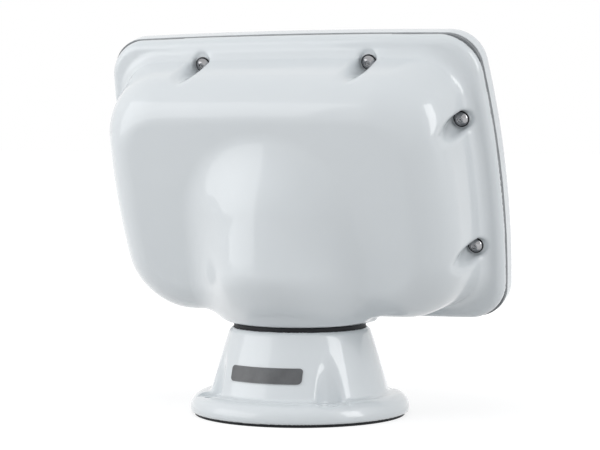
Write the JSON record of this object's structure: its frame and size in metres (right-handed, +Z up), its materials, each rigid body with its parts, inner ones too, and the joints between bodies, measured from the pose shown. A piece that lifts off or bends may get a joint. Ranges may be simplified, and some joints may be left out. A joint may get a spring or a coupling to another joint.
{
  "type": "swivel instrument pod",
  "caption": "Tilted watertight instrument pod with a display cut-out, turning on a conical deck pedestal with a bolted flange.",
  "frame": {"origin": "on the swivel axis, at the underside of the deck gasket", "axes": "+Z up along the swivel axis, the front panel faces -Y, +X to the right as seen from the front"},
  "size_m": [0.348, 0.184, 0.3204],
  "materials": {
    "white_shell": "gloss",
    "black_rubber": "matte",
    "grey_rubber": "matte",
    "badge": "satin",
    "polished_steel": "polished",
    "steel": "satin",
    "cast_alloy": "satin",
    "turned_alloy": "satin",
    "brass": "satin",
    "acetal": "satin"
  },
  "bodies": {
    "base": {"pedestal_shell": "white_shell", "deck_gasket": "black_rubber", "badge_plate": "badge", "bearing_housing": "cast_alloy", "bearing_screws": "steel", "upper_bush": "acetal", "lower_bush": "acetal", "thrust_washer": "acetal", "swivel_seal": "black_rubber", "stop_pin": "steel"},
    "pod": {"rear_housing": "white_shell", "front_panel": "white_shell", "perimeter_seal": "grey_rubber", "screw_seals": "black_rubber", "cable_grommet": "black_rubber", "housing_screws": "polished_steel", "stem_screws": "steel", "stem_washers": "steel", "disc_spring": "steel", "pressure_washer": "steel", "nut_lock_screw": "steel", "swivel_stem": "turned_alloy", "clamp_nut": "brass", "threaded_inserts": "brass"}
  },
  "joints": [
    {"name": "pod_swivel", "type": "hinge", "parent": "base", "child": "pod", "pos_m": [0, 0, 0.077], "axis": [0, 0, 1], "range_deg": [-175, 175]}
  ]
}
